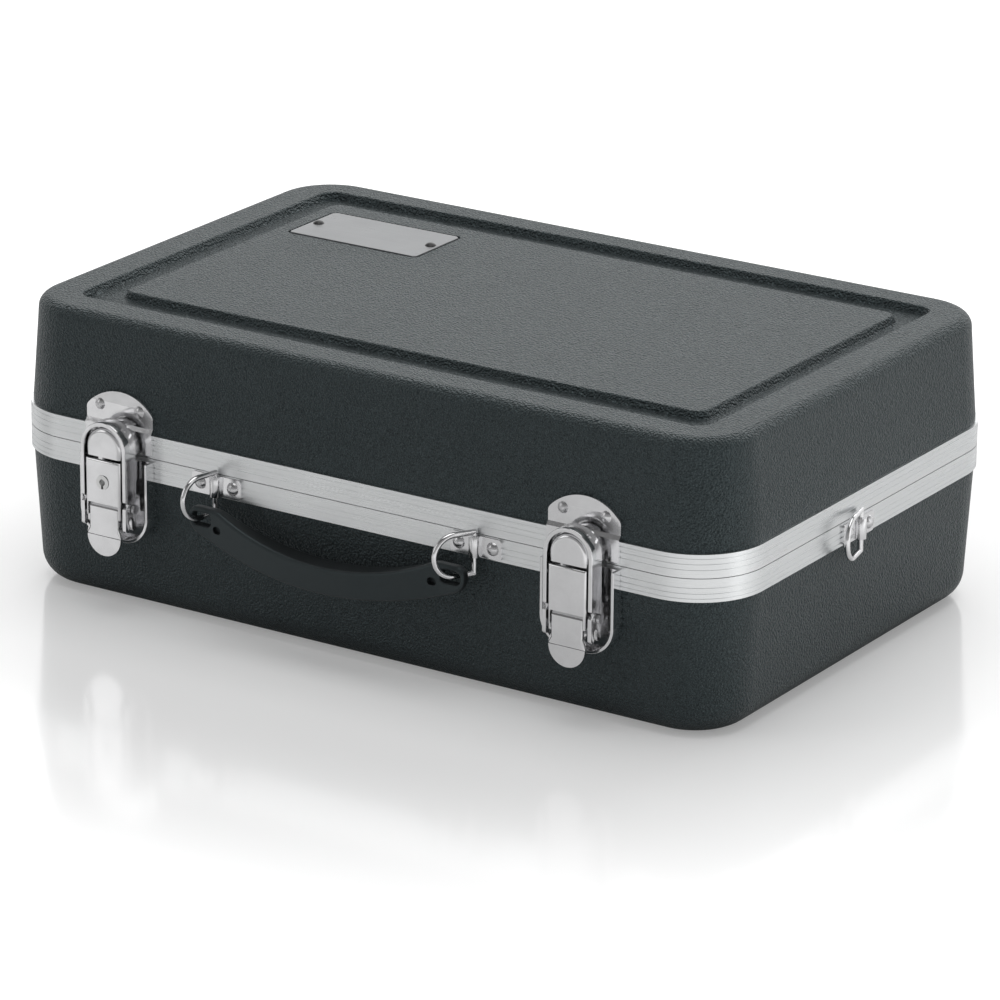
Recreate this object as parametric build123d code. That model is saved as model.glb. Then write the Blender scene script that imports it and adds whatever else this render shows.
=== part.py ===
from build123d import *
import math
import os

os.makedirs("parts", exist_ok=True)

# Case shell, all sizes in millimetres
CASE_LENGTH = 370.0
CASE_DEPTH = 240.0
CASE_HEIGHT = 131.0
PLAN_RADIUS = 32.0
SPLIT_Z = 72.4
SPLIT_GAP = 0.3
WALL = 3.0
DRAFT = 3.4
BASE_STRAIGHT_Z = 60.0
LID_STRAIGHT_Z = 84.8
BOTTOM_EDGE = 13.0
TOP_EDGE = 6.0

# Metal valance that closes both rims
VALANCE_SKIN = 1.2
VALANCE_HEIGHT = 10.4
VALANCE_WEB = 1.0
VALANCE_GROOVE = 0.22
GROOVE_LINES = [(3.4, 4.1), (5.9, 6.6), (8.3, 8.8)]
TONGUE_OUTER = 5.6
TONGUE_INNER = 7.0
TONGUE_DROP = 2.4
SPLICE_WIDTH = 14.0
SPLICE_THICK = 0.6

# Pressed channel in the lid's top
MOAT_DEPTH = 3.5
MOAT_SLOPE = 28.0
MOAT_OUTER = (CASE_LENGTH - 48.0, CASE_DEPTH - 44.5, 8.0)
MOAT_INNER = (CASE_LENGTH - 74.0, CASE_DEPTH - 76.5, 5.0)
MOAT_OUTER_CENTRE = (0.0, 0.75)
MOAT_INNER_CENTRE = (2.0, 0.75)
MOAT_ROUND = 1.2

# Name plate
PLATE_SIZE = (69.0, 37.0)
PLATE_CENTRE = (81.5 - CASE_LENGTH / 2, CASE_DEPTH / 2 - 68.6)
PLATE_THICK = 1.0
PLATE_RECESS = 0.8
PLATE_MARGIN = 1.0
PLATE_CUT = 1.6
PLATE_RIVET_SPACING = PLATE_SIZE[0] - 7.6

# Inside furniture
INSERT_TOP = 70.0
INSERT_STEP_Z = 66.0
INSERT_INSET = 8.8
POCKET_AXIS_Z = 52.0
LOWER_JOINT = (-168.0, 96.0, 84.0, 19.0)
BARREL = (104.0, 168.0, 84.0, 18.0)
UPPER_JOINT = (-168.0, 68.0, 40.0, 17.0)
MOUTHPIECE = (76.0, 168.0, 40.0, 16.0)
BELL = (-166.0, -56.0, -46.0, 41.0, 24.0)
TRAY_LEFT = (-4.0, 78.0, -102.0, 12.0)
TRAY_RIGHT = (86.0, 168.0, -102.0, 12.0)
TRAY_FLOOR = 24.0
PAD_INSET = 13.0
PAD_LOW = 106.0

# Latches
LATCH_X = {-1: 64.8 - CASE_LENGTH / 2, 1: CASE_LENGTH / 2 - 67.0}
CATCH_WIDTH = 35.4
CATCH_LOW = 74.0
CATCH_SHOULDER = 91.2
CATCH_TOP = 99.5
CATCH_CORNER = 3.0
CATCH_THICK = 1.4
BOSS_RADIUS = 9.4
BOSS_LOW = 73.2
BOSS_CENTRE_Z = 77.0
BOSS_FACE = 12.5
BOSS_EDGE = 2.0
PAN_WIDTH = 36.0
PAN_LOW = 33.0
PAN_TOP = 71.0
PAN_CORNER = 13.0
PAN_THICK = 1.2
PAN_RIM = 5.5
EAR_IN = 6.2
EAR_OUT = 7.4
PIVOT_P = 9.5
PIVOT_Z = 67.5
PIVOT_R = 1.0
EAR_HEAD = 2.0
LEVER_IN = 8.05
LEVER_OUT = 9.25
LEVER_FACE = 13.1
LEVER_TOP = 72.0
LEVER_PLATE_LOW = 52.0
LEVER_WALL_LOW = 46.0
LEVER_BACK = 5.2
LEVER_THICK = 1.2
LOOP_IN = 10.2
LOOP_OUT = 12.0
LOOP_ARCH_Z = 77.0
LOOP_BACK = 5.0
LOOP_FRONT = 12.8
LOOP_NOTCH_Z = 53.0
LOOP_FOOT_Z = 40.6
LOOP_PIVOT_P = 7.5
LOOP_PIVOT_Z = 50.5
LOOP_PIN_R = 1.2
TAB_PIVOT_P = 10.0
TAB_PIVOT_Z = 52.2
TAB_PIN_R = 0.8
TAB_KNUCKLE_R = 1.7
TAB_HALF = 7.55
TAB_END = 8.9
TAB_FLARE_Z = 40.0
TAB_TOP = 50.0
TAB_EDGE = 0.5
TAB_LOW = 28.0
TAB_FACE = 12.7
TAB_THICK = 1.4
RUNNING = 0.05

# Lock in the left lever
LOCK_Z = 62.0
LOCK_R = 3.2
LOCK_FACE = 13.5
LOCK_STEP = 11.4
LOCK_BODY_R = 2.4
CAM_LOW = 8.0
CAM_HIGH = 9.2
CAM_REACH = 5.4

# Rings and their brackets
WIRE_R = 1.25
RING_HALF = 9.2
RING_LEG = 9.4
BRACKET_LENGTH = 25.6
BRACKET_HEIGHT = 9.2
BRACKET_THICK = 1.2
BRACKET_RIVET_X = 8.5
BRACKET_HEAD_R = 3.0
BRACKET_HEAD_H = 1.8
BRACKET_AXIS = 2.0
TUNNEL_R = 2.5
FRONT_BRACKET_X = {-1: -68.0, 1: 65.3}
FRONT_BRACKET_Z = 67.4
FRONT_RING_Z = 64.5
RING_TILT_LEFT = 12.0
RING_TILT_RIGHT = 31.0
SIDE_BRACKET_Y = -10.0
SIDE_BRACKET_Z = 66.9
SIDE_RING_TILT = 12.0

# Handle
HANDLE_HOLES = (-68.6, 59.3)
HANDLE_BLOCK_P = (7.0, 12.0)
HANDLE_GRIP_P = (4.0, 16.0)
HANDLE_HOLE = (10.0, 6.0)
HANDLE_AXIS_P = 9.5
HANDLE_HOLE_TOP = 6.4
HANDLE_BLOCK_TOP = 4.2
HANDLE_END = 6.8
HANDLE_END_LOW = 50.0
HANDLE_LOW = 35.3
HANDLE_DIMPLE = (8.6, 51.8)
HANDLE_ROUND = 1.6
HANDLE_HOLE_ROUND = 0.8

# Rear hinges
HINGE_X = CASE_LENGTH / 2 - 80.0
HINGE_WIDTH = 56.0
HINGE_Y = CASE_DEPTH / 2 + 3.2
HINGE_Z = SPLIT_Z + 0.1
HINGE_R = 2.8
HINGE_PIN_R = 1.4
HINGE_LEAF = 1.0
HINGE_GAP = 0.3
HINGE_LEAF_LOW = SPLIT_Z - 9.8
HINGE_LEAF_HIGH = SPLIT_Z + 10.0
HINGE_CLEAR = 3.5

# Rivets
SHANK_R = 1.5
HEAD_R = 2.6
HEAD_H = 1.3
SHANK_DEPTH = 6.4
CATCH_SHANK = 5.3
PAN_SHANK = 7.0
PLATE_SHANK = 4.6

FRONT_Y = -CASE_DEPTH / 2
REAR_Y = CASE_DEPTH / 2
BASE_RIM = SPLIT_Z - SPLIT_GAP / 2
LID_RIM = SPLIT_Z + SPLIT_GAP / 2


def front_at(p):
    return Plane(origin=(0, FRONT_Y - p, 0), x_dir=(1, 0, 0), z_dir=(0, -1, 0))


def slab(outline, p_low, p_high):
    return extrude(front_at(p_low) * outline, amount=p_high - p_low, dir=(0, -1, 0))


def along_x(outline, x_low, x_high):
    side = Plane(origin=(x_high, FRONT_Y, 0), x_dir=(0, -1, 0), z_dir=(-1, 0, 0))
    return extrude(side * outline, amount=x_high - x_low, dir=(-1, 0, 0))


def box(x_range, y_range, z_range):
    size = [high - low for low, high in (x_range, y_range, z_range)]
    middle = [(high + low) / 2 for low, high in (x_range, y_range, z_range)]
    return Pos(*middle) * Box(*size)


def rod_x(radius, x_low, x_high, y, z):
    return Pos((x_low + x_high) / 2, y, z) * Rot(0, 90, 0) * Cylinder(radius, x_high - x_low)


def rod_z(radius, x, y, z_low, z_high):
    return Pos(x, y, (z_low + z_high) / 2) * Cylinder(radius, z_high - z_low)


def plan(inset):
    return RectangleRounded(CASE_LENGTH - 2 * inset, CASE_DEPTH - 2 * inset, PLAN_RADIUS - inset)


def ring(outer_inset, inner_inset, z_low, z_high):
    height = z_high - z_low
    return Pos(0, 0, z_low) * (extrude(plan(outer_inset), height) - extrude(plan(inner_inset), height))


def base_block(inset, floor, edge, top):
    upper = Pos(0, 0, BASE_STRAIGHT_Z) * extrude(plan(inset), top - BASE_STRAIGHT_Z)
    under = Plane(origin=(0, 0, BASE_STRAIGHT_Z), z_dir=(0, 0, -1))
    angle = math.degrees(math.atan(DRAFT / BASE_STRAIGHT_Z))
    lower = extrude(under * plan(inset), amount=BASE_STRAIGHT_Z - floor, taper=angle)
    lower = fillet(lower.faces().sort_by(Axis.Z)[0].edges(), edge)
    return upper + lower


def lid_block(inset, ceiling, edge, low):
    lower = Pos(0, 0, low) * extrude(plan(inset), LID_STRAIGHT_Z - low)
    angle = math.degrees(math.atan(DRAFT / (CASE_HEIGHT - LID_STRAIGHT_Z)))
    upper = Pos(0, 0, LID_STRAIGHT_Z) * extrude(plan(inset), amount=ceiling - LID_STRAIGHT_Z, taper=angle)
    upper = fillet(upper.faces().sort_by(Axis.Z)[-1].edges(), edge)
    return lower + upper


def base_outer():
    return base_block(VALANCE_SKIN, 0.0, BOTTOM_EDGE, BASE_RIM - VALANCE_WEB)


def base_cavity(top):
    return base_block(VALANCE_SKIN + WALL, WALL, BOTTOM_EDGE - WALL, top)


def lid_outer():
    return lid_block(VALANCE_SKIN, CASE_HEIGHT, TOP_EDGE, LID_RIM + VALANCE_WEB)


def rounded(size, centre):
    return Pos(centre[0], centre[1]) * RectangleRounded(size[0], size[1], size[2])


def grown(size, amount):
    return (size[0] + 2 * amount, size[1] + 2 * amount, size[2] + amount)


def moat(top, depth, grow):
    down = Plane(origin=(0, 0, top), x_dir=(1, 0, 0), z_dir=(0, 0, -1))
    outer_centre = (MOAT_OUTER_CENTRE[0], -MOAT_OUTER_CENTRE[1])
    inner_centre = (MOAT_INNER_CENTRE[0], -MOAT_INNER_CENTRE[1])
    outer = extrude(down * rounded(grown(MOAT_OUTER, grow), outer_centre), amount=depth, taper=MOAT_SLOPE)
    inner = extrude(down * rounded(grown(MOAT_INNER, -grow), inner_centre), amount=depth, taper=-MOAT_SLOPE)
    return outer - inner


def plate_outline(grow):
    wide = PLATE_SIZE[0] / 2 + grow
    tall = PLATE_SIZE[1] / 2 + grow
    cut = PLATE_CUT + grow * 0.4
    corners = [
        (-wide + cut, -tall),
        (wide - cut, -tall),
        (wide, -tall + cut),
        (wide, tall - cut),
        (wide - cut, tall),
        (-wide + cut, tall),
        (-wide, tall - cut),
        (-wide, -tall + cut),
    ]
    return Pos(*PLATE_CENTRE) * Polygon(*corners, align=None)


def plate_rivet_points():
    half = PLATE_RIVET_SPACING / 2
    return [(PLATE_CENTRE[0] - half, PLATE_CENTRE[1]), (PLATE_CENTRE[0] + half, PLATE_CENTRE[1])]


def rivet(place, head_r=HEAD_R, head_h=HEAD_H, shank_r=SHANK_R, depth=SHANK_DEPTH):
    ball = (head_r ** 2 + head_h ** 2) / (2 * head_h)
    head = Pos(0, 0, head_h / 2) * Cylinder(head_r, head_h) & Pos(0, 0, head_h - ball) * Sphere(ball)
    shank = Pos(0, 0, -depth / 2) * Cylinder(shank_r, depth)
    tail = Pos(0, 0, -depth - 0.4) * Cylinder(shank_r * 1.5, 0.8)
    return place * (head + shank + tail)


def shank_hole(place, shank_r=SHANK_R):
    return place * Cylinder(shank_r, 4 * SHANK_DEPTH)


def tail_room(place, depth=SHANK_DEPTH, shank_r=SHANK_R):
    return place * Pos(0, 0, -depth - 4) * Cylinder(shank_r * 1.5, 8)


def front_place(x, p, z):
    return Plane(origin=(x, FRONT_Y - p, z), x_dir=(1, 0, 0), z_dir=(0, -1, 0))


def rear_place(x, z):
    return Plane(origin=(x, REAR_Y + HINGE_LEAF, z), x_dir=(1, 0, 0), z_dir=(0, 1, 0))


def side_place(side, y, z):
    outward = side * (CASE_LENGTH / 2 + BRACKET_THICK)
    return Plane(origin=(outward, y, z), x_dir=(0, 1, 0), z_dir=(side, 0, 0))


def catch_rivet_places(x):
    return [front_place(x + dx, 0.1, 92.5) for dx in (-10.5, 10.5)]


def pan_rivet_places(x):
    return [front_place(x, PAN_THICK, z) for z in (39.0, 50.0)]


def front_bracket_places():
    spots = []
    for side in (-1, 1):
        for dx in (-BRACKET_RIVET_X, BRACKET_RIVET_X):
            spots.append(front_place(FRONT_BRACKET_X[side] + dx, BRACKET_THICK, FRONT_BRACKET_Z))
    return spots


def side_bracket_places():
    spots = []
    for side in (-1, 1):
        for dy in (-BRACKET_RIVET_X, BRACKET_RIVET_X):
            spots.append(side_place(side, SIDE_BRACKET_Y + dy, SIDE_BRACKET_Z))
    return spots


def hinge_places(z):
    spots = []
    for side in (-1, 1):
        for dx in (-21.0, 0.0, 21.0):
            spots.append(rear_place(side * HINGE_X + dx, z))
    return spots


LOWER_HINGE_RIVET_Z = 65.8
UPPER_HINGE_RIVET_Z = 79.6


def base_rivet_places():
    places = pan_rivet_places(LATCH_X[-1]) + pan_rivet_places(LATCH_X[1])
    places += front_bracket_places() + side_bracket_places() + hinge_places(LOWER_HINGE_RIVET_Z)
    return places


def lid_rivet_places():
    return catch_rivet_places(LATCH_X[-1]) + catch_rivet_places(LATCH_X[1]) + hinge_places(UPPER_HINGE_RIVET_Z)


def plate_places():
    return [Plane(origin=(x, y, CASE_HEIGHT - PLATE_RECESS + PLATE_THICK)) for x, y in plate_rivet_points()]


def cut_all(solid, cutters):
    for cutter in cutters:
        solid = solid - cutter
    return solid


def base_shell():
    shell = base_outer() - base_cavity(BASE_RIM)
    return cut_all(shell, [shank_hole(place) for place in base_rivet_places()])


def lid_shell():
    shell = lid_outer() - lid_block(VALANCE_SKIN + WALL, CASE_HEIGHT - WALL, TOP_EDGE - WALL, LID_RIM)
    shell = shell + moat(CASE_HEIGHT - WALL + 0.5, MOAT_DEPTH + 0.5, 1.0)
    shell = shell - moat(CASE_HEIGHT, MOAT_DEPTH, 0.0)
    shell = fillet([edge for edge in shell.edges() if on_moat_edge(edge)], MOAT_ROUND)
    shell = shell - Pos(0, 0, CASE_HEIGHT - PLATE_RECESS) * extrude(plate_outline(PLATE_MARGIN), 2.0, dir=(0, 0, 1))
    shell = cut_all(shell, [shank_hole(place) for place in lid_rivet_places()])
    return cut_all(shell, [place * Cylinder(SHANK_R, 20) for place in plate_places()])


def on_moat_edge(edge):
    middle = edge.center()
    flat = edge.bounding_box().size.Z < 0.01
    level = min(abs(middle.Z - CASE_HEIGHT), abs(middle.Z - CASE_HEIGHT + MOAT_DEPTH)) < 0.01
    inside = abs(middle.X) < MOAT_OUTER[0] / 2 + 1 and abs(middle.Y) < MOAT_OUTER[1] / 2 + 2
    return flat and level and inside


def groove_rings(z_start, direction):
    cuts = []
    for low, high in GROOVE_LINES:
        ends = sorted([z_start + direction * low, z_start + direction * high])
        cuts.append(ring(-1.0, VALANCE_GROOVE, ends[0], ends[1]))
    return cuts


def base_valance():
    low = BASE_RIM - VALANCE_HEIGHT + 0.15
    body = ring(0.0, VALANCE_SKIN, low, BASE_RIM)
    body = body + ring(VALANCE_SKIN, VALANCE_SKIN + WALL + 1.0, BASE_RIM - VALANCE_WEB, BASE_RIM)
    body = body + ring(VALANCE_SKIN + WALL, VALANCE_SKIN + WALL + 1.0, 66.6, BASE_RIM)
    body = cut_all(body, groove_rings(BASE_RIM, -1))
    return cut_all(body, [shank_hole(place) for place in base_rivet_places()])


def lid_valance():
    high = LID_RIM + VALANCE_HEIGHT - 0.15
    body = ring(0.0, VALANCE_SKIN, LID_RIM, high)
    body = body + ring(VALANCE_SKIN, TONGUE_INNER, LID_RIM, LID_RIM + VALANCE_WEB)
    body = body + ring(VALANCE_SKIN + WALL, VALANCE_SKIN + WALL + 1.0, LID_RIM, 78.0)
    body = body + ring(TONGUE_OUTER, TONGUE_INNER, SPLIT_Z - TONGUE_DROP, LID_RIM + VALANCE_WEB)
    body = cut_all(body, groove_rings(LID_RIM, 1))
    return cut_all(body, [shank_hole(place) for place in lid_rivet_places()])


def splice(z_low, z_high):
    half = SPLICE_WIDTH / 2
    return box((-half, half), (REAR_Y, REAR_Y + SPLICE_THICK), (z_low, z_high))


def pocket(spec):
    x_low, x_high, y, radius = spec
    trough = rod_x(radius, x_low, x_high, y, POCKET_AXIS_Z)
    mouth = box((x_low, x_high), (y - radius, y + radius), (POCKET_AXIS_Z, INSERT_TOP + 1))
    return trough + mouth


def bell_pocket():
    x_low, x_high, y, wide, narrow = BELL
    flare = Pos((x_low + x_high) / 2, y, POCKET_AXIS_Z) * Rot(0, 90, 0) * Cone(wide, narrow, x_high - x_low)
    upper = box((x_low - 1, x_high + 1), (y - wide - 1, y + wide + 1), (POCKET_AXIS_Z, INSERT_TOP + 1))
    mouth_shape = Polygon((x_low, y - wide), (x_high, y - narrow), (x_high, y + narrow), (x_low, y + wide), align=None)
    mouth = Pos(0, 0, POCKET_AXIS_Z) * extrude(mouth_shape, INSERT_TOP + 1 - POCKET_AXIS_Z, dir=(0, 0, 1))
    return (flare - upper) + mouth


def tray(spec):
    x_low, x_high, y_low, y_high = spec
    middle = ((x_low + x_high) / 2, (y_low + y_high) / 2)
    shape = RectangleRounded(x_high - x_low, y_high - y_low, 8.0)
    return Pos(middle[0], middle[1], TRAY_FLOOR) * extrude(shape, INSERT_TOP + 1 - TRAY_FLOOR)


def base_insert():
    block = base_cavity(INSERT_STEP_Z)
    block = block + Pos(0, 0, INSERT_STEP_Z - 1) * extrude(plan(INSERT_INSET), INSERT_TOP - INSERT_STEP_Z + 1)
    for spec in (LOWER_JOINT, BARREL, UPPER_JOINT, MOUTHPIECE):
        block = block - pocket(spec)
    block = block - bell_pocket()
    block = block - tray(TRAY_LEFT)
    block = block - tray(TRAY_RIGHT)
    return cut_all(block, [tail_room(place) for place in base_rivet_places()]
                   + [shank_hole(place) for place in base_rivet_places()])


def lid_pad():
    top = CASE_HEIGHT - WALL - MOAT_DEPTH
    pad = Pos(0, 0, PAD_LOW) * extrude(plan(PAD_INSET), top - PAD_LOW)
    pad = fillet(pad.faces().sort_by(Axis.Z)[0].edges(), 5.0)
    tails = [place * Pos(0, 0, -5) * Cylinder(4.0, 14) for place in plate_places()]
    return cut_all(pad, tails)


def name_plate():
    plate = Pos(0, 0, CASE_HEIGHT - PLATE_RECESS) * extrude(plate_outline(0.0), PLATE_THICK, dir=(0, 0, 1))
    plate = chamfer(plate.faces().sort_by(Axis.Z)[-1].edges(), 0.25)
    return cut_all(plate, [place * Cylinder(SHANK_R, 20) for place in plate_places()])


def catch_outline():
    half = CATCH_WIDTH / 2
    path = Polyline((-half, CATCH_SHOULDER), (-half, CATCH_LOW), (half, CATCH_LOW), (half, CATCH_SHOULDER))
    path = path + ThreePointArc((half, CATCH_SHOULDER), (0, CATCH_TOP), (-half, CATCH_SHOULDER))
    face = make_face(path)
    corners = [vertex for vertex in face.vertices() if abs(vertex.Y - CATCH_SHOULDER) < 0.01]
    return fillet(corners, CATCH_CORNER)


def catch_plate(x):
    outline = Pos(x, 0) * catch_outline()
    profile = Polygon(
        (-6.0, CATCH_LOW - 1),
        (CATCH_THICK, CATCH_LOW - 1),
        (CATCH_THICK, 83.9),
        (0.1, 85.6),
        (0.1, 94.0),
        (-0.5, CATCH_TOP + 1),
        (-6.0, CATCH_TOP + 1),
        align=None,
    )
    plate = slab(outline, -6.0, CATCH_THICK) & along_x(profile, x - CATCH_WIDTH, x + CATCH_WIDTH)
    plate = plate - lid_outer()
    plate = plate - ring(0.0, 8.0, LID_RIM, LID_RIM + VALANCE_HEIGHT - 0.15)
    boss_shape = Pos(x, BOSS_CENTRE_Z) * Circle(BOSS_RADIUS) + Pos(x, BOSS_CENTRE_Z - 5.0) * Rectangle(2 * BOSS_RADIUS, 10)
    low_cut = Pos(x, BOSS_LOW - 10) * Rectangle(4 * BOSS_RADIUS, 20)
    boss = slab(boss_shape - low_cut, CATCH_THICK - 0.5, BOSS_FACE)
    rim = boss.faces().sort_by(Axis.Y)[0].edges()
    boss = fillet([edge for edge in rim if edge.center().Z > BOSS_LOW + 0.5], BOSS_EDGE)
    plate = plate + boss
    return cut_all(plate, [shank_hole(place) for place in catch_rivet_places(x)])


def pan_outline(inset):
    half = PAN_WIDTH / 2 - inset
    low = PAN_LOW + inset
    top = PAN_TOP
    turn = PAN_CORNER - inset
    path = Polyline((-half, low + turn), (-half, top), (half, top), (half, low + turn))
    path = path + RadiusArc((half, low + turn), (half - turn, low), turn)
    path = path + Line((half - turn, low), (turn - half, low))
    path = path + RadiusArc((turn - half, low), (-half, low + turn), turn)
    return make_face(path)


def ear_profile():
    head = Pos(PIVOT_P, PIVOT_Z) * Circle(EAR_HEAD)
    neck = Polygon((0.6, 60.2), (0.6, 68.5), (PIVOT_P, 68.5), (PIVOT_P, 65.5), (5.0, 60.2), align=None)
    return head + neck


def pan(x, with_keeper):
    outline = Pos(x, 0) * pan_outline(0.0)
    plate = slab(outline, -6.0, PAN_THICK)
    rim = slab(outline - Pos(x, 0) * pan_outline(1.3), PAN_THICK, PAN_RIM)
    plate = plate + rim
    for side in (-1, 1):
        ends = sorted([x + side * EAR_IN, x + side * EAR_OUT])
        plate = plate + along_x(ear_profile(), ends[0], ends[1])
    if with_keeper:
        post = box((x - EAR_OUT, x - 6.0), (FRONT_Y - 10.8, FRONT_Y - 0.6), (60.0, 64.0))
        lip = box((x - EAR_OUT, x - 3.5), (FRONT_Y - 10.8, FRONT_Y - 9.6), (60.0, 64.0))
        plate = plate + post + lip
    plate = plate - rod_x(PIVOT_R, x - 20, x + 20, FRONT_Y - PIVOT_P, PIVOT_Z)
    plate = plate - base_outer()
    plate = plate - ring(0.0, 8.0, BASE_RIM - VALANCE_HEIGHT + 0.15, BASE_RIM)
    return cut_all(plate, [shank_hole(place) for place in pan_rivet_places(x)])


def lever_wall_profile():
    shape = Polygon(
        (LEVER_BACK, LEVER_WALL_LOW),
        (LEVER_BACK, LEVER_TOP),
        (LEVER_FACE, LEVER_TOP),
        (LEVER_FACE, LEVER_WALL_LOW),
        align=None,
    )
    return shape


def lever(x, with_lock):
    body = None
    for side in (-1, 1):
        ends = sorted([x + side * LEVER_IN, x + side * LEVER_OUT])
        wall = along_x(lever_wall_profile(), ends[0], ends[1])
        body = wall if body is None else body + wall
    face = Pos(x, (LEVER_TOP + LEVER_PLATE_LOW) / 2) * Rectangle(2 * LEVER_OUT, LEVER_TOP - LEVER_PLATE_LOW)
    body = body + slab(face, LEVER_FACE - LEVER_THICK, LEVER_FACE)
    front_edges = body.edges().filter_by(Axis.Z).group_by(Axis.Y)[0]
    outer_edges = [edge for edge in front_edges if abs(abs(edge.center().X - x) - LEVER_OUT) < 0.01]
    top_edges = body.edges().filter_by(Axis.X).group_by(Axis.Z)[-1].group_by(Axis.Y)[0]
    body = fillet(outer_edges + list(top_edges), 1.0)
    body = body - rod_x(PIVOT_R + RUNNING, x - 20, x + 20, FRONT_Y - PIVOT_P, PIVOT_Z)
    body = body - rod_x(LOOP_PIN_R, x - 20, x + 20, FRONT_Y - LOOP_PIVOT_P, LOOP_PIVOT_Z)
    body = body - rod_x(TAB_PIN_R, x - 20, x + 20, FRONT_Y - TAB_PIVOT_P, TAB_PIVOT_Z)
    if with_lock:
        body = body - slab(Pos(x, LOCK_Z) * Circle(LOCK_R + RUNNING), 9.0, 20.0)
    return body


def loop_leg_profile():
    prongs_z = LOOP_FOOT_Z + 0.9
    shape = Polygon(
        (LOOP_BACK, prongs_z),
        (LOOP_BACK, LOOP_ARCH_Z),
        (LOOP_FRONT, LOOP_ARCH_Z),
        (LOOP_FRONT, LOOP_NOTCH_Z + 1.6),
        (10.6, LOOP_NOTCH_Z),
        (LOOP_FRONT, LOOP_NOTCH_Z - 1.6),
        (LOOP_FRONT, prongs_z),
        (12.0, LOOP_FOOT_Z),
        (10.9, LOOP_FOOT_Z),
        (10.3, prongs_z),
        (10.3, 45.2),
        (9.7, 46.0),
        (9.0, 46.0),
        (8.4, 45.2),
        (8.4, prongs_z),
        (7.6, LOOP_FOOT_Z),
        (5.8, LOOP_FOOT_Z),
        align=None,
    )
    return shape


def loop(x):
    body = None
    for side in (-1, 1):
        ends = sorted([x + side * LOOP_IN, x + side * LOOP_OUT])
        leg = along_x(loop_leg_profile(), ends[0], ends[1])
        body = leg if body is None else body + leg
    arch = Pos(x, LOOP_ARCH_Z) * (Circle(LOOP_OUT) - Circle(LOOP_IN))
    arch = arch - Pos(x, LOOP_ARCH_Z - 20) * Rectangle(40, 40)
    body = body + slab(arch, LOOP_BACK, LOOP_FRONT)
    return body - rod_x(LOOP_PIN_R + RUNNING, x - 20, x + 20, FRONT_Y - LOOP_PIVOT_P, LOOP_PIVOT_Z)


def tab_outline():
    end_z = TAB_LOW + TAB_END
    neck = Polygon((-TAB_HALF, TAB_TOP), (TAB_HALF, TAB_TOP), (TAB_HALF, TAB_FLARE_Z), (TAB_END, end_z + 0.8),
                   (TAB_END, end_z), (-TAB_END, end_z), (-TAB_END, end_z + 0.8), (-TAB_HALF, TAB_FLARE_Z),
                   align=None)
    return neck + Pos(0, end_z) * Circle(TAB_END)


def tab(x):
    outline = Pos(x, 0) * tab_outline()
    plate = slab(outline, TAB_FACE - TAB_THICK, TAB_FACE)
    rim = plate.faces().sort_by(Axis.Y)[0].edges()
    plate = fillet([edge for edge in rim if edge.center().Z < TAB_TOP - 0.1], TAB_EDGE)
    web = Polygon((TAB_FACE, TAB_TOP), (TAB_PIVOT_P + 1.5, TAB_PIVOT_Z - 0.8), (TAB_PIVOT_P - 0.8, TAB_PIVOT_Z - 1.5),
                  (TAB_FACE - TAB_THICK, TAB_TOP - 1.4), (TAB_FACE - 0.5, TAB_TOP - 1.4), align=None)
    plate = plate + along_x(web, x - TAB_HALF, x + TAB_HALF)
    knuckle = rod_x(TAB_KNUCKLE_R, x - TAB_HALF, x + TAB_HALF, FRONT_Y - TAB_PIVOT_P, TAB_PIVOT_Z)
    plate = plate + knuckle
    return plate - rod_x(TAB_PIN_R + RUNNING, x - 20, x + 20, FRONT_Y - TAB_PIVOT_P, TAB_PIVOT_Z)


def lever_pin(x):
    return rod_x(PIVOT_R, x - 9.6, x + 9.6, FRONT_Y - PIVOT_P, PIVOT_Z)


def tab_pin(x):
    return rod_x(TAB_PIN_R, x - LEVER_OUT, x + LEVER_OUT, FRONT_Y - TAB_PIVOT_P, TAB_PIVOT_Z)


def loop_pins(x):
    pins = []
    y = FRONT_Y - LOOP_PIVOT_P
    for side in (-1, 1):
        stem = sorted([x + side * LEVER_IN, x + side * 13.4])
        collar = sorted([x + side * LEVER_OUT, x + side * (LOOP_IN - 0.3)])
        head = sorted([x + side * (LOOP_OUT + 0.3), x + side * 13.6])
        pin = rod_x(LOOP_PIN_R, stem[0], stem[1], y, LOOP_PIVOT_Z)
        pin = pin + rod_x(2.0, collar[0], collar[1], y, LOOP_PIVOT_Z)
        pin = pin + rod_x(2.0, head[0], head[1], y, LOOP_PIVOT_Z)
        pins.append(pin)
    return pins


def lock_cylinder(x):
    body = slab(Pos(x, LOCK_Z) * Circle(LOCK_R), LOCK_STEP, LOCK_FACE)
    body = body + slab(Pos(x, LOCK_Z) * Circle(LOCK_BODY_R), CAM_HIGH, LOCK_STEP)
    keyhole = Pos(x, LOCK_Z) * Circle(1.5) + Pos(x, LOCK_Z - 1.5) * Rectangle(1.1, 3.0)
    return body - slab(keyhole, LOCK_STEP - 0.6, 20.0)


def lock_cam(x):
    arm = Pos(x, LOCK_Z) * Circle(2.4) + Pos(x, LOCK_Z - CAM_REACH / 2) * Rectangle(3.0, CAM_REACH)
    return slab(arm, CAM_LOW, CAM_HIGH)


def d_ring():
    bar = Cylinder(WIRE_R, 2 * RING_HALF)
    wire = bar
    for end in (-1, 1):
        wire = wire + Pos(0, 0, end * RING_HALF) * Sphere(WIRE_R)
        wire = wire + Pos(RING_LEG / 2, 0, end * RING_HALF) * Rot(0, 90, 0) * Cylinder(WIRE_R, RING_LEG)
    bend = Pos(RING_LEG, 0, 0) * Rot(90, 0, 0) * Torus(RING_HALF, WIRE_R)
    bend = bend & box((RING_LEG, RING_LEG + 2 * RING_HALF), (-5, 5), (-20, 20))
    return wire + bend


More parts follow.
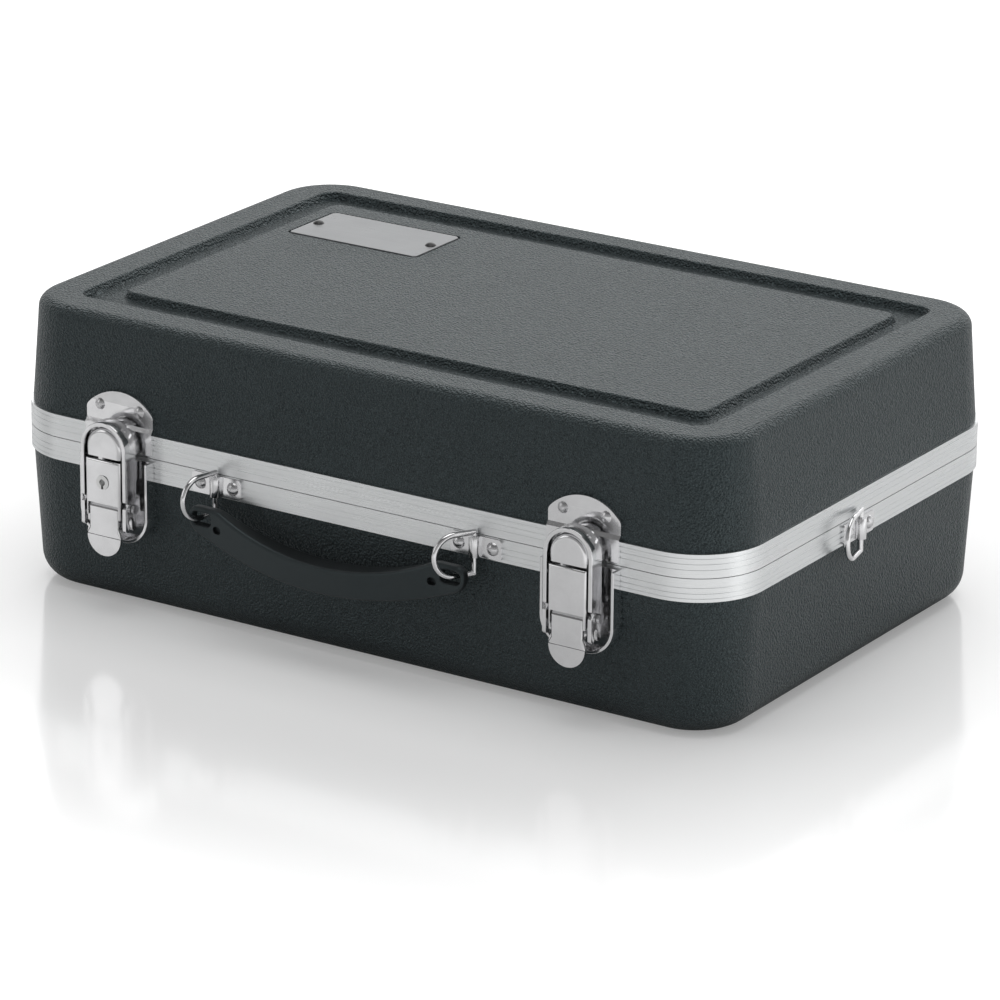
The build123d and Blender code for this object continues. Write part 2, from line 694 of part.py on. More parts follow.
def bracket(place_on):
    plate = extrude(RectangleRounded(BRACKET_LENGTH, BRACKET_HEIGHT, 1.6), BRACKET_THICK)
    tunnel = Pos(0, 0, BRACKET_AXIS) * Rot(90, 0, 0) * Cylinder(TUNNEL_R, BRACKET_HEIGHT)
    tunnel = tunnel & box((-10, 10), (-10, 10), (0, 10))
    bore = Pos(0, 0, BRACKET_AXIS) * Rot(90, 0, 0) * Cylinder(WIRE_R + RUNNING, 40)
    body = plate + tunnel - bore
    for dx in (-BRACKET_RIVET_X, BRACKET_RIVET_X):
        body = body - Pos(dx, 0, 0) * Cylinder(SHANK_R, 10)
    return place_on * body


def front_bracket(side):
    return bracket(front_place(FRONT_BRACKET_X[side], 0.0, FRONT_BRACKET_Z))


def side_bracket(side):
    return bracket(Plane(origin=(side * CASE_LENGTH / 2, SIDE_BRACKET_Y, SIDE_BRACKET_Z),
                         x_dir=(0, 1, 0), z_dir=(side, 0, 0)))


def front_ring(side, tilt):
    return Pos(FRONT_BRACKET_X[side], FRONT_Y - BRACKET_AXIS, FRONT_RING_Z) * Rot(0, 0, -90 - tilt) * d_ring()


def side_ring(side):
    x = side * (CASE_LENGTH / 2 + BRACKET_AXIS)
    return Pos(x, SIDE_BRACKET_Y, SIDE_BRACKET_Z - 1.0) * Rot(0, 0, -90 + side * SIDE_RING_TILT) * d_ring()


def handle_outline():
    left, right = HANDLE_HOLES
    centre = (left + right) / 2
    half = (right - left) / 2
    top = FRONT_RING_Z - HANDLE_BLOCK_TOP
    end = half + HANDLE_END
    path = ThreePointArc((-half + 9.0, top - 0.6), (0, 47.5), (half - 9.0, top - 0.6))
    path = path + Polyline((half - 9.0, top - 0.6), (half - 6.0, top), (end, top), (end, HANDLE_END_LOW))
    path = path + ThreePointArc((end, HANDLE_END_LOW), (0, HANDLE_LOW), (-end, HANDLE_END_LOW))
    path = path + Polyline((-end, HANDLE_END_LOW), (-end, top), (-half + 6.0, top), (-half + 9.0, top - 0.6))
    face = make_face(path)
    lower = [vertex for vertex in face.vertices() if abs(vertex.Y - HANDLE_END_LOW) < 0.01]
    face = fillet(lower, 7.0)
    upper = [vertex for vertex in face.vertices() if abs(abs(vertex.X) - end) < 0.01 and abs(vertex.Y - top) < 0.01]
    face = fillet(upper, 4.0)
    return Pos(centre, 0) * face, centre, half


def handle_plan(centre, half):
    low, high = HANDLE_GRIP_P
    thin_low, thin_high = HANDLE_BLOCK_P
    bend = half - 5.0
    inner = ThreePointArc((-bend, FRONT_Y - thin_low), (0, FRONT_Y - low), (bend, FRONT_Y - thin_low))
    outer = ThreePointArc((bend, FRONT_Y - thin_high), (0, FRONT_Y - high), (-bend, FRONT_Y - thin_high))
    right = Polyline((bend, FRONT_Y - thin_low), (half + 12, FRONT_Y - thin_low), (half + 12, FRONT_Y - thin_high),
                     (bend, FRONT_Y - thin_high))
    left = Polyline((-bend, FRONT_Y - thin_high), (-half - 12, FRONT_Y - thin_high),
                    (-half - 12, FRONT_Y - thin_low), (-bend, FRONT_Y - thin_low))
    return Pos(centre, 0) * make_face(inner + right + outer + left)


def handle_grip():
    outline, centre, half = handle_outline()
    low, high = HANDLE_GRIP_P
    body = slab(outline, low, high) & Pos(0, 0, 20) * extrude(handle_plan(centre, half), 60, dir=(0, 0, 1))
    across = [edge for edge in body.edges() if edge.bounding_box().size.X + edge.bounding_box().size.Z > 0.5
              and not on_end_face(edge)]
    body = fillet(across, HANDLE_ROUND)
    for hole_x in HANDLE_HOLES:
        inboard = 1 if hole_x < 0 else -1
        top = FRONT_RING_Z - HANDLE_HOLE_TOP
        opening = Pos(hole_x, top - HANDLE_HOLE[1] / 2) * RectangleRounded(HANDLE_HOLE[0], HANDLE_HOLE[1], 2.2)
        body = body - slab(opening, low - 2, high + 2)
        dimple = Pos(hole_x + inboard * HANDLE_DIMPLE[0], HANDLE_DIMPLE[1]) * RectangleRounded(4.2, 3.4, 1.4)
        body = body - slab(dimple, HANDLE_BLOCK_P[1] - 1.6, high + 2)
    hole_rims = [edge for edge in body.edges() if on_hole_rim(edge)]
    return fillet(hole_rims, HANDLE_HOLE_ROUND)


def on_end_face(edge):
    size = edge.bounding_box().size
    return size.Y > 0.5 and size.X < 0.01


def on_hole_rim(edge):
    middle = edge.center()
    near_hole = min(abs(middle.X - hole_x) for hole_x in HANDLE_HOLES) < HANDLE_HOLE[0] / 2 + 0.1
    high = FRONT_RING_Z - HANDLE_HOLE_TOP + 0.1
    low = high - HANDLE_HOLE[1] - 0.2
    faces_y = [FRONT_Y - value for value in HANDLE_BLOCK_P]
    on_face = min(abs(middle.Y - value) for value in faces_y) < 0.01
    flat = edge.bounding_box().size.Y < 0.01
    return near_hole and low < middle.Z < high and on_face and flat


def knuckle_spans(x):
    width = HINGE_WIDTH / 5
    start = x - HINGE_WIDTH / 2
    return [(start + i * width + HINGE_GAP / 2, start + (i + 1) * width - HINGE_GAP / 2) for i in range(5)]


def hinge_leaf(x, spans, z_low, z_high, arm_z, bore, rivet_z):
    half = HINGE_WIDTH / 2
    leaf = box((x - half, x + half), (REAR_Y, REAR_Y + HINGE_LEAF), (z_low, z_high))
    for low, high in spans:
        leaf = leaf + rod_x(HINGE_R, low, high, HINGE_Y, HINGE_Z)
        arm = sorted([HINGE_Z, arm_z])
        leaf = leaf + box((low, high), (REAR_Y, REAR_Y + HINGE_LEAF), (arm[0], arm[1]))
    leaf = leaf - rod_x(bore, x - 60, x + 60, HINGE_Y, HINGE_Z)
    places = [rear_place(x + dx, rivet_z) for dx in (-21.0, 0.0, 21.0)]
    return cut_all(leaf, [shank_hole(place) for place in places])


def hinge_lower(x):
    spans = knuckle_spans(x)
    return hinge_leaf(x, spans[0::2], HINGE_LEAF_LOW, HINGE_Z - HINGE_CLEAR, HINGE_Z - HINGE_CLEAR,
                      HINGE_PIN_R, LOWER_HINGE_RIVET_Z)


def hinge_upper(x):
    spans = knuckle_spans(x)
    return hinge_leaf(x, spans[1::2], HINGE_Z + HINGE_CLEAR, HINGE_LEAF_HIGH, HINGE_Z + HINGE_CLEAR,
                      HINGE_PIN_R + RUNNING, UPPER_HINGE_RIVET_Z)


def hinge_pin(x):
    half = HINGE_WIDTH / 2 + 0.6
    return rod_x(HINGE_PIN_R, x - half, x + half, HINGE_Y, HINGE_Z)


def short_rivets(places, depth=SHANK_DEPTH):
    return [rivet(place, depth=depth) for place in places]


def bracket_rivets(places):
    return [rivet(place, head_r=BRACKET_HEAD_R, head_h=BRACKET_HEAD_H) for place in places]


def save(name, piece):
    if isinstance(piece, list):
        piece = Compound(children=[single(item) for item in piece])
    else:
        piece = single(piece)
    piece.label = name
    export_step(piece, "parts/" + name + ".step")


def single(piece):
    solids = piece.solids()
    if len(solids) == 1:
        return solids[0]
    return Compound(children=list(solids))


def main():
    save("base_shell", base_shell())
    save("base_valance", base_valance())
    save("base_valance_splice", splice(BASE_RIM - VALANCE_HEIGHT + 0.6, BASE_RIM - 0.3))
    save("base_insert", base_insert())
    save("lid_shell", lid_shell())
    save("lid_valance", lid_valance())
    save("lid_valance_splice", splice(LID_RIM + 0.3, LID_RIM + VALANCE_HEIGHT - 0.6))
    save("lid_pad", lid_pad())
    save("name_plate", name_plate())
    save("name_plate_rivets", [rivet(place, depth=PLATE_SHANK) for place in plate_places()])
    for side, word in ((-1, "left"), (1, "right")):
        x = LATCH_X[side]
        save("catch_plate_" + word, catch_plate(x))
        save("latch_pan_" + word, pan(x, side < 0))
        save("lever_" + word, lever(x, side < 0))
        save("loop_" + word, loop(x))
        save("tab_" + word, tab(x))
        save("lever_pin_" + word, lever_pin(x))
        save("tab_pin_" + word, tab_pin(x))
        save("loop_pins_" + word, loop_pins(x))
        save("front_bracket_" + word, front_bracket(side))
        save("side_bracket_" + word, side_bracket(side))
        save("side_ring_" + word, side_ring(side))
        save("hinge_lower_" + word, hinge_lower(side * HINGE_X))
        save("hinge_upper_" + word, hinge_upper(side * HINGE_X))
        save("hinge_pin_" + word, hinge_pin(side * HINGE_X))
    save("front_ring_left", front_ring(-1, RING_TILT_LEFT))
    save("front_ring_right", front_ring(1, RING_TILT_RIGHT))
    save("lock_cylinder", lock_cylinder(LATCH_X[-1]))
    save("lock_cam", lock_cam(LATCH_X[-1]))
    save("handle_grip", handle_grip())
    catch_places = catch_rivet_places(LATCH_X[-1]) + catch_rivet_places(LATCH_X[1])
    save("catch_rivets", short_rivets(catch_places, CATCH_SHANK))
    pan_places = pan_rivet_places(LATCH_X[-1]) + pan_rivet_places(LATCH_X[1])
    save("pan_rivets", short_rivets(pan_places, PAN_SHANK))
    save("front_bracket_rivets", bracket_rivets(front_bracket_places()))
    save("side_bracket_rivets", bracket_rivets(side_bracket_places()))
    save("hinge_rivets_lower", short_rivets(hinge_places(LOWER_HINGE_RIVET_Z)))
    save("hinge_rivets_upper", short_rivets(hinge_places(UPPER_HINGE_RIVET_Z)))


main()
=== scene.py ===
import bmesh
import bpy
import math
from mathutils import Matrix, Vector, noise


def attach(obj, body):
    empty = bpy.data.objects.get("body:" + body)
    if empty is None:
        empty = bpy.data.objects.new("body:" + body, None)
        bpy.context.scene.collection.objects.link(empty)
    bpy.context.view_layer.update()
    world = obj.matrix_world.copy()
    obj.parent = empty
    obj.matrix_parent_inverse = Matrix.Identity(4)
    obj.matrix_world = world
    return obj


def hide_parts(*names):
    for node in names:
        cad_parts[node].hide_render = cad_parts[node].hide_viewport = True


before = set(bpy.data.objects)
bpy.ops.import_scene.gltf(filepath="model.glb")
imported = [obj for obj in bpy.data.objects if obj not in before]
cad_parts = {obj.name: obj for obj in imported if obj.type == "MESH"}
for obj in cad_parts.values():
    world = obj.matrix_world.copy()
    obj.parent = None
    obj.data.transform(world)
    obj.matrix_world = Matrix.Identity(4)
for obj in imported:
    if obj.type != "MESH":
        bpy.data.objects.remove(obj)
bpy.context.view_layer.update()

# Camera at the photograph's viewing angle, in metres
CAMERA_PLACE = Vector((1.276633, -1.975100, 0.872869))
CAMERA_LOOK = Vector((-0.5119504, 0.79134187, -0.3341928))
CAMERA_ROLL = math.radians(0.476)
CAMERA_LENS = 203.0
SENSOR = 36.0

# Material grain, in cells per metre, and the depth of the pebble in metres
PEBBLE_CELLS = 1150.0
PEBBLE_FINE = 1900.0
PEBBLE_DEPTH_SIDES = 0.0008
PEBBLE_DEPTH_TOP = 0.0014
BRUSH_LINES = 5200.0
PLUSH_CELLS = 1400.0

# Soft pieces, in metres
INSERT_FACE_Z = 0.060
PAD_CROWN = 0.0045

# Faint blue-green cast of the plastic's sheen
PLASTIC_SHEEN_TINT = (0.76, 0.98, 1.03)

# Lighting levels
# Floor glow seen by the camera, weaker near the case than far from it: painted shade on the floor around
# the case
FLOOR_LIFT_NEAR_PAINTED_SHADE = 0.25
FLOOR_LIFT_FAR = 0.54
FLOOR_PAINTED_SHADE_REACH = (0.21, 0.40)
# Floor glow seen only in reflections, growing towards the front-right corner: painted light in the case's
# reflections
FLOOR_PAINTED_REFLECTION_GLOW = 0.42
FLOOR_PAINTED_REFLECTION_REACH = (0.14, 0.42)
TOWARDS_CORNER = (0.8, -0.6, 0.0)
FLOOR_TONE = (0.93, 0.93, 0.93)
FLOOR_HALF_SIZE = 9.0
FLOOR_GLOSS = 0.12
FLOOR_IOR = 1.85
HORIZON_LIGHT = 1.0
ZENITH_LIGHT = 0.30
NEAR_SIDE_LIGHT = 0.35
ROOM_LIGHT = 0.29
CASE_MIDDLE = (0.0, 0.0, 0.07)

# Studio lamps: place, size and power
LAMPS = {
    "top_back": ((-0.5, 1.7, 1.5), (2.4, 1.2), 16.0),
    "top": ((0.1, 0.0, 2.0), (1.6, 1.6), 13.0),
    "front_left": ((-1.6, -1.7, 1.0), (0.9, 1.4), 3.5),
    "right": ((2.2, 0.1, 0.9), (0.8, 1.6), 2.5),
}

# Rounding of the sheet metal's edges, in metres
LATCH_EDGE = 0.00025
BRACKET_EDGE = 0.0002

# Metal and lining colours
SATIN_METAL = (0.80, 0.815, 0.82)
CHROME = (0.80, 0.80, 0.81)
PIN_STEEL = (0.66, 0.66, 0.67)
HINGE_STEEL = (0.62, 0.63, 0.64)
LOCK_METAL = (0.7, 0.7, 0.7)
PLATE_METAL = (0.205, 0.21, 0.215)
RIVET_DARK = (0.012, 0.012, 0.012)
RIVET_WORN = (0.05, 0.05, 0.05)
LINING_DARK = (0.018, 0.02, 0.026)
LINING_LIGHT = (0.04, 0.043, 0.052)


def make_camera():
    look = CAMERA_LOOK.normalized()
    right = look.cross(Vector((0, 0, 1))).normalized()
    up = right.cross(look)
    turned_right = math.cos(CAMERA_ROLL) * right + math.sin(CAMERA_ROLL) * up
    turned_up = -math.sin(CAMERA_ROLL) * right + math.cos(CAMERA_ROLL) * up
    data = bpy.data.cameras.new("camera")
    data.lens = CAMERA_LENS
    data.sensor_width = SENSOR
    data.clip_start = 0.05
    data.clip_end = 50.0
    camera = bpy.data.objects.new("camera", data)
    bpy.context.collection.objects.link(camera)
    turn = Matrix((turned_right, turned_up, -look)).transposed().to_4x4()
    camera.matrix_world = Matrix.Translation(CAMERA_PLACE) @ turn
    bpy.context.scene.camera = camera


def area_light(name, place, size, power):
    data = bpy.data.lights.new(name, "AREA")
    data.shape = "RECTANGLE"
    data.size = size[0]
    data.size_y = size[1]
    data.energy = power
    lamp = bpy.data.objects.new(name, data)
    bpy.context.collection.objects.link(lamp)
    lamp.location = place
    aim = Vector(CASE_MIDDLE) - Vector(place)
    lamp.rotation_euler = aim.to_track_quat("-Z", "Y").to_euler()


def make_lights():
    for name, (place, size, power) in LAMPS.items():
        area_light(name, place, size, power)


class Nodes:
    """A small helper for building one material's node tree."""

    def __init__(self, name):
        self.material = bpy.data.materials.new(name)
        self.material.use_nodes = True
        self.tree = self.material.node_tree
        self.shader = self.tree.nodes["Principled BSDF"]

    def add(self, kind, **inputs):
        node = self.tree.nodes.new(kind)
        for key, value in inputs.items():
            node.inputs[key.replace("_", " ")].default_value = value
        return node

    def link(self, source, target):
        self.tree.links.new(source, target)

    def place(self, scale):
        coordinates = self.add("ShaderNodeTexCoord")
        mapping = self.add("ShaderNodeMapping")
        mapping.inputs["Scale"].default_value = scale
        self.link(coordinates.outputs["Object"], mapping.inputs["Vector"])
        return mapping.outputs["Vector"]

    def noise(self, scale, detail=3.0, stretch=(1.0, 1.0, 1.0), roughness=0.55):
        node = self.add("ShaderNodeTexNoise", Scale=scale, Detail=detail, Roughness=roughness)
        self.link(self.place(stretch), node.inputs["Vector"])
        return node.outputs["Fac"]

    def cells(self, scale, smooth=1.0):
        node = self.add("ShaderNodeTexVoronoi")
        node.feature = "SMOOTH_F1"
        node.inputs["Scale"].default_value = scale
        node.inputs["Smoothness"].default_value = smooth
        self.link(self.place((1.0, 1.0, 1.0)), node.inputs["Vector"])
        return node.outputs["Distance"]

    def ramp(self, source, low, high, low_value, high_value):
        node = self.add("ShaderNodeMapRange")
        node.inputs["From Min"].default_value = low
        node.inputs["From Max"].default_value = high
        node.inputs["To Min"].default_value = low_value
        node.inputs["To Max"].default_value = high_value
        self.link(source, node.inputs["Value"])
        return node.outputs["Result"]

    def math(self, operation, first, second):
        node = self.add("ShaderNodeMath")
        node.operation = operation
        for index, value in enumerate((first, second)):
            if isinstance(value, (int, float)):
                node.inputs[index].default_value = value
            else:
                self.link(value, node.inputs[index])
        return node.outputs["Value"]

    def mix(self, factor, first, second):
        node = self.add("ShaderNodeMix")
        node.data_type = "RGBA"
        self.link(factor, node.inputs["Factor"])
        node.inputs["A"].default_value = (*first, 1.0)
        node.inputs["B"].default_value = (*second, 1.0)
        return node.outputs["Result"]

    def bump(self, height, strength, distance, below=None):
        node = self.add("ShaderNodeBump", Strength=strength)
        if isinstance(distance, float):
            node.inputs["Distance"].default_value = distance
        else:
            self.link(distance, node.inputs["Distance"])
        self.link(height, node.inputs["Height"])
        if below is not None:
            self.link(below, node.inputs["Normal"])
        return node.outputs["Normal"]

    def set(self, name, value):
        if isinstance(value, (int, float)):
            self.shader.inputs[name].default_value = value
        elif isinstance(value, tuple):
            self.shader.inputs[name].default_value = (*value, 1.0)
        else:
            self.link(value, self.shader.inputs[name])


def pebbled_plastic():
    made = Nodes("shell_pebbled_plastic")
    pebble = made.cells(PEBBLE_CELLS)
    fine = made.noise(PEBBLE_FINE, 2.0)
    patch = made.noise(22.0, 4.0)
    scuff = made.noise(9.0, 6.0, (1.0, 1.0, 4.0), 0.7)
    tone = made.ramp(patch, 0.3, 0.7, 0.0, 1.0)
    made.set("Base Color", made.mix(tone, (0.0150, 0.0178, 0.0186), (0.0200, 0.0232, 0.0242)))
    worn = made.ramp(scuff, 0.62, 0.75, 0.0, 0.07)
    grain = made.ramp(pebble, 0.1, 0.6, 0.31, 0.44)
    made.set("Roughness", made.math("ADD", grain, worn))
    made.set("Specular IOR Level", made.ramp(fine, 0.35, 0.65, 0.36, 0.84))
    facing = made.add("ShaderNodeNewGeometry")
    split = made.add("ShaderNodeSeparateXYZ")
    made.link(facing.outputs["Normal"], split.inputs["Vector"])
    depth = made.ramp(split.outputs["Z"], 0.2, 0.9, PEBBLE_DEPTH_SIDES, PEBBLE_DEPTH_TOP)
    first = made.bump(pebble, 1.0, depth)
    made.set("Normal", made.bump(fine, 0.5, 0.00020, first))
    made.set("Specular Tint", PLASTIC_SHEEN_TINT)
    return made.material


def brushed_metal(name, colour, roughness, stretch, strength=0.25):
    made = Nodes(name)
    lines = made.noise(1.0, 4.0, stretch, 0.7)
    smudge = made.noise(35.0, 3.0)
    made.set("Metallic", 1.0)
    dark = tuple(value * 0.9 for value in colour)
    made.set("Base Color", made.mix(made.ramp(lines, 0.3, 0.7, 0.0, 1.0), dark, colour))
    streak = made.ramp(lines, 0.25, 0.75, -0.07, 0.07)
    cloud = made.ramp(smudge, 0.3, 0.7, roughness - 0.03, roughness + 0.05)
    made.set("Roughness", made.math("ADD", streak, cloud))
    made.set("Normal", made.bump(lines, strength, 0.00004))
    return made.material


def plated_metal(name, colour, roughness):
    made = Nodes(name)
    wave = made.noise(160.0, 2.0)
    pits = made.noise(2600.0, 3.0, roughness=0.7)
    smear = made.noise(60.0, 5.0, roughness=0.7)
    made.set("Metallic", 1.0)
    dull = tuple(value * 0.86 for value in colour)
    made.set("Base Color", made.mix(made.ramp(smear, 0.35, 0.75, 0.0, 1.0), colour, dull))
    made.set("Roughness", made.ramp(smear, 0.3, 0.75, roughness, roughness + 0.12))
    first = made.bump(wave, 0.12, 0.0004)
    made.set("Normal", made.bump(pits, 0.06, 0.00005, first))
    return made.material


def moulded_plastic():
    made = Nodes("handle_moulded_plastic")
    grain = made.noise(2100.0, 3.0, roughness=0.7)
    patch = made.noise(45.0, 4.0)
    tone = made.ramp(patch, 0.3, 0.7, 0.0, 1.0)
    made.set("Base Color", made.mix(tone, (0.015, 0.0156, 0.0163), (0.0225, 0.0232, 0.0243)))
    made.set("Roughness", made.ramp(patch, 0.3, 0.7, 0.36, 0.48))
    made.set("Specular Tint", PLASTIC_SHEEN_TINT)
    made.set("Normal", made.bump(grain, 0.3, 0.0001))
    return made.material


def plush(name, dark, light):
    made = Nodes(name)
    nap = made.noise(PLUSH_CELLS, 4.0, roughness=0.75)
    brushed = made.noise(26.0, 5.0, roughness=0.65)
    tone = made.ramp(brushed, 0.35, 0.68, 0.0, 1.0)
    made.set("Base Color", made.mix(tone, dark, light))
    made.set("Roughness", made.ramp(nap, 0.3, 0.7, 0.85, 1.0))
    made.set("Sheen Weight", 0.6)
    made.set("Sheen Roughness", 0.4)
    made.set("Normal", made.bump(nap, 0.7, 0.0008))
    return made.material


def graded(tree, source, reach, values):
    node = tree.nodes.new("ShaderNodeMapRange")
    node.interpolation_type = "SMOOTHSTEP"
    node.inputs["From Min"].default_value = reach[0]
    node.inputs["From Max"].default_value = reach[1]
    node.inputs["To Min"].default_value = values[0]
    node.inputs["To Max"].default_value = values[1]
    tree.links.new(source, node.inputs["Value"])
    return node.outputs["Result"]


def product(tree, first, second):
    node = tree.nodes.new("ShaderNodeMath")
    node.operation = "MULTIPLY"
    tree.links.new(first, node.inputs[0])
    tree.links.new(second, node.inputs[1])
    return node.outputs["Value"]


def white_stage():
    """White to the eye, with the shadow and the soft reflection of the case kept; its camera-only glow is
    weaker near the case, a painted shade around it, and a painted glow towards the front-right corner is
    seen only in reflections.
    """
    material = bpy.data.materials.new("stage_white")
    material.use_nodes = True
    tree = material.node_tree
    shader = tree.nodes["Principled BSDF"]
    shader.inputs["Base Color"].default_value = (*FLOOR_TONE, 1.0)
    shader.inputs["Roughness"].default_value = FLOOR_GLOSS
    shader.inputs["IOR"].default_value = FLOOR_IOR
    shader.inputs["Emission Color"].default_value = (1.0, 1.0, 1.0, 1.0)
    path = tree.nodes.new("ShaderNodeLightPath")
    coordinates = tree.nodes.new("ShaderNodeTexCoord")
    distance = tree.nodes.new("ShaderNodeVectorMath")
    distance.operation = "LENGTH"
    tree.links.new(coordinates.outputs["Object"], distance.inputs[0])
    # Camera-only glow, weaker near the case: painted shade around the case
    lift = graded(tree, distance.outputs["Value"], FLOOR_PAINTED_SHADE_REACH, (FLOOR_LIFT_NEAR_PAINTED_SHADE, FLOOR_LIFT_FAR))
    seen_lift_with_painted_shade = product(tree, path.outputs["Is Camera Ray"], lift)
    # Glow seen only by glossy rays, towards the front-right corner: painted light in the case's reflections
    corner = tree.nodes.new("ShaderNodeVectorMath")
    corner.operation = "DOT_PRODUCT"
    corner.inputs[1].default_value = TOWARDS_CORNER
    tree.links.new(coordinates.outputs["Object"], corner.inputs[0])
    painted_reflection_strength = graded(tree, corner.outputs["Value"], FLOOR_PAINTED_REFLECTION_REACH, (0.0, FLOOR_PAINTED_REFLECTION_GLOW))
    painted_reflection_glow = product(tree, path.outputs["Is Glossy Ray"], painted_reflection_strength)
    lift_and_painted_light = tree.nodes.new("ShaderNodeMath")
    tree.links.new(seen_lift_with_painted_shade, lift_and_painted_light.inputs[0])
    tree.links.new(painted_reflection_glow, lift_and_painted_light.inputs[1])
    tree.links.new(lift_and_painted_light.outputs["Value"], shader.inputs["Emission Strength"])
    return material


def make_floor():
    size = FLOOR_HALF_SIZE
    corners = [(-size, -size, 0), (size, -size, 0), (size, size, 0), (-size, size, 0)]
    mesh = bpy.data.meshes.new("floor")
    mesh.from_pydata(corners, [], [(0, 1, 2, 3)])
    mesh.materials.append(white_stage())
    floor = bpy.data.objects.new("floor", mesh)
    bpy.context.collection.objects.link(floor)


def white_background(tree):
    background = tree.nodes.new("ShaderNodeBackground")
    background.inputs["Color"].default_value = (1.0, 1.0, 1.0, 1.0)
    return background


def chosen(tree, ray, otherwise, shown):
    mixer = tree.nodes.new("ShaderNodeMixShader")
    tree.links.new(ray, mixer.inputs[0])
    tree.links.new(otherwise, mixer.inputs[1])
    tree.links.new(shown, mixer.inputs[2])
    return mixer.outputs[0]


def make_world():
    """White to the camera, graded to mirror-like surfaces, and a plain soft light to all else."""
    world = bpy.data.worlds.new("studio")
    bpy.context.scene.world = world
    world.use_nodes = True
    tree = world.node_tree
    light = tree.nodes["Background"]
    light.inputs["Color"].default_value = (1.0, 1.0, 1.0, 1.0)
    light.inputs["Strength"].default_value = ROOM_LIGHT
    seen = white_background(tree)
    mirrored = white_background(tree)
    coordinates = tree.nodes.new("ShaderNodeTexCoord")
    split = tree.nodes.new("ShaderNodeSeparateXYZ")
    tree.links.new(coordinates.outputs["Generated"], split.inputs[0])
    height = graded(tree, split.outputs["Z"], (0.30, 0.85), (HORIZON_LIGHT, ZENITH_LIGHT))
    depth = graded(tree, split.outputs["Y"], (-0.5, 0.3), (NEAR_SIDE_LIGHT, 1.0))
    tree.links.new(product(tree, height, depth), mirrored.inputs["Strength"])
    path = tree.nodes.new("ShaderNodeLightPath")
    indirect = chosen(tree, path.outputs["Is Glossy Ray"], light.outputs[0], mirrored.outputs[0])
    result = chosen(tree, path.outputs["Is Camera Ray"], indirect, seen.outputs[0])
    tree.links.new(result, tree.nodes["World Output"].inputs["Surface"])


def dress(names, material):
    for name in names:
        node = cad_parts[name]
        node.data.materials.clear()
        node.data.materials.append(material)


def both(*stems):
    return [stem + side for stem in stems for side in ("_left", "_right")]


def soften(names, width, segments=2, angle=35.0):
    for name in names:
        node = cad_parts[name]
        weld = node.modifiers.new("weld", "WELD")
        weld.merge_threshold = 0.000005
        bevel = node.modifiers.new("edge", "BEVEL")
        bevel.width = width
        bevel.segments = segments
        bevel.limit_method = "ANGLE"
        bevel.angle_limit = math.radians(angle)
        bevel.harden_normals = True


def closed_copy(name, source, voxel, smoothing):
    """A soft piece made from its CAD solid: remeshed, then relaxed so that every edge is round."""
    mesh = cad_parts[source].data.copy()
    mesh.materials.clear()
    work = bmesh.new()
    work.from_mesh(mesh)
    bmesh.ops.remove_doubles(work, verts=work.verts, dist=0.000002)
    work.to_mesh(mesh)
    work.free()
    piece = bpy.data.objects.new(name, mesh)
    bpy.context.collection.objects.link(piece)
    remesh = piece.modifiers.new("remesh", "REMESH")
    remesh.mode = "VOXEL"
    remesh.voxel_size = voxel
    relax = piece.modifiers.new("relax", "SMOOTH")
    relax.factor = 0.5
    relax.iterations = smoothing
    graph = bpy.context.evaluated_depsgraph_get()
    finished = bpy.data.meshes.new_from_object(piece.evaluated_get(graph))
    piece.modifiers.clear()
    piece.data = finished
    for polygon in finished.polygons:
        polygon.use_smooth = True
    return piece


def soft_insert():
    """The moulded lining of the base: rounded pocket rims, a slight sag between them and uneven nap."""
    piece = closed_copy("plush_insert", "base_insert", 0.0022, 9)
    for vertex in piece.data.vertices:
        spot = vertex.co
        nap = noise.noise(spot * 55.0) * 0.0004 + noise.noise(spot * 190.0) * 0.00018
        sag = 0.0005 + 0.0005 * noise.noise(spot * 18.0)
        if spot.z > INSERT_FACE_Z:
            vertex.co.z = spot.z - sag - abs(nap)
    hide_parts("base_insert")
    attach(piece, "base")
    return piece


def soft_lid_pad():
    """The pad in the lid: a crowned face that pulls in towards its edges."""
    piece = closed_copy("plush_lid_pad", "lid_pad", 0.003, 12)
    low = Vector([min(v.co[i] for v in piece.data.vertices) for i in range(3)])
    high = Vector([max(v.co[i] for v in piece.data.vertices) for i in range(3)])
    middle = (low + high) / 2
    half = (high - low) / 2
    for vertex in piece.data.vertices:
        spot = vertex.co
        if spot.z < middle.z:
            edge = max(abs(spot.x - middle.x) / half.x, abs(spot.y - middle.y) / half.y)
            lift = PAD_CROWN * edge ** 4
            wave = 0.0005 * (1.0 + noise.noise(spot * 25.0))
            vertex.co.z = spot.z + (lift + wave) * (middle.z - spot.z) / half.z
    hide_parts("lid_pad")
    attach(piece, "lid")
    return piece


def paint(piece, material):
    piece.data.materials.clear()
    piece.data.materials.append(material)


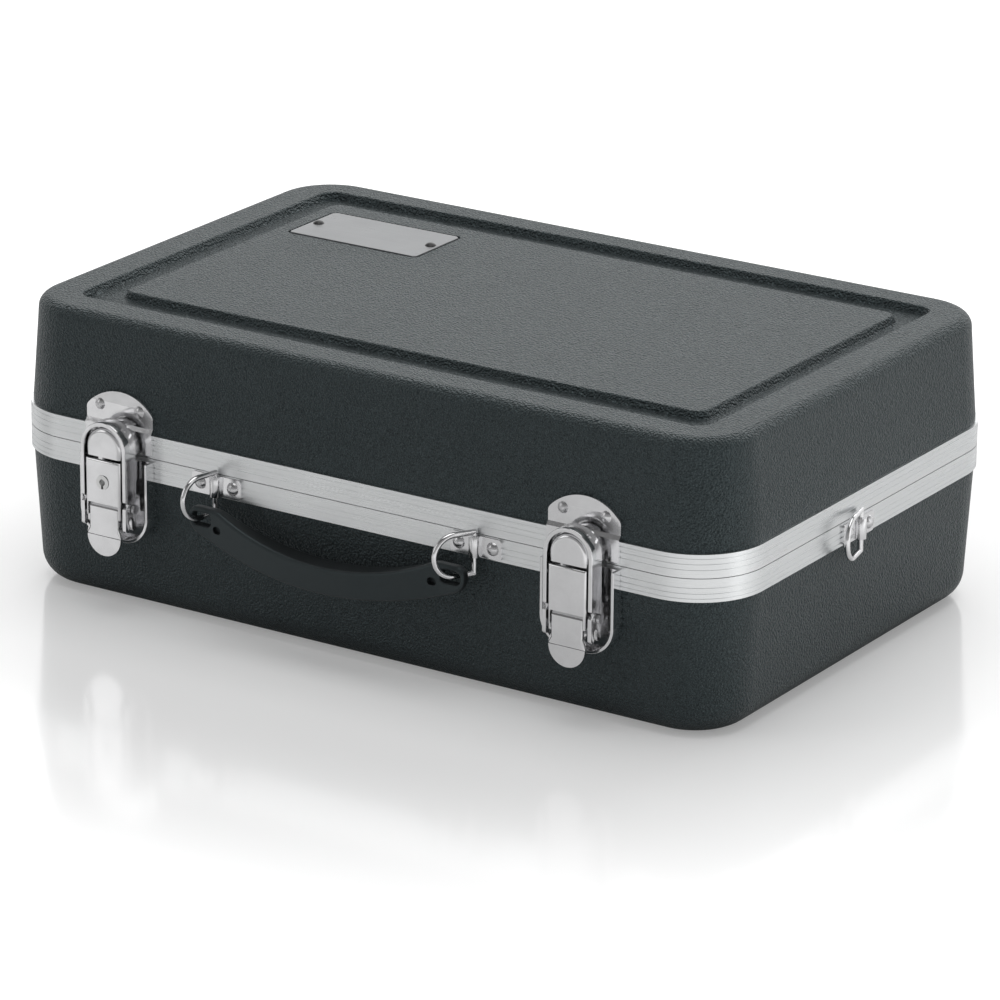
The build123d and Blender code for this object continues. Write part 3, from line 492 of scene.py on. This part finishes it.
def dark_rivet():
    made = Nodes("dark_rivet")
    wear = made.noise(900.0, 3.0)
    made.set("Base Color", made.mix(made.ramp(wear, 0.5, 0.7, 0.0, 1.0), RIVET_DARK, RIVET_WORN))
    made.set("Roughness", made.ramp(wear, 0.3, 0.7, 0.3, 0.5))
    made.set("Normal", made.bump(wear, 0.2, 0.0001))
    return made.material


def dress_all():
    dress(["base_shell", "lid_shell"], pebbled_plastic())
    rim = brushed_metal("valance_satin", SATIN_METAL, 0.30, (12.0, 12.0, BRUSH_LINES))
    dress(["base_valance", "lid_valance", "base_valance_splice", "lid_valance_splice"], rim)
    chrome = plated_metal("chrome_plate", CHROME, 0.10)
    dress(both("latch_pan", "catch_plate", "lever", "loop", "tab", "front_bracket", "side_bracket"), chrome)
    dress(both("front_ring", "side_ring"), chrome)
    pins = plated_metal("steel_pin", PIN_STEEL, 0.2)
    dress(both("lever_pin", "tab_pin", "loop_pins", "hinge_pin"), pins)
    dress(["catch_rivets", "pan_rivets", "front_bracket_rivets", "side_bracket_rivets"], pins)
    dress(["hinge_rivets_lower", "hinge_rivets_upper"], pins)
    hinge = brushed_metal("hinge_steel", HINGE_STEEL, 0.28, (30.0, 900.0, 2600.0))
    dress(both("hinge_lower", "hinge_upper"), hinge)
    dress(["lock_cylinder", "lock_cam"], plated_metal("lock_metal", LOCK_METAL, 0.16))
    dress(["handle_grip"], moulded_plastic())
    dress(["name_plate"], brushed_metal("plate_brushed", PLATE_METAL, 0.34, (20.0, 3000.0, 3000.0)))
    dress(["name_plate_rivets"], dark_rivet())
    lining = plush("plush_charcoal", LINING_DARK, LINING_LIGHT)
    dress(["base_insert", "lid_pad"], lining)
    paint(soft_insert(), lining)
    paint(soft_lid_pad(), lining)
    soften(both("catch_plate", "latch_pan", "lever", "loop", "tab"), LATCH_EDGE)
    soften(both("front_bracket", "side_bracket"), BRACKET_EDGE)


make_camera()
make_lights()
make_floor()
make_world()
dress_all()
bpy.context.scene.view_settings.view_transform = "Standard"
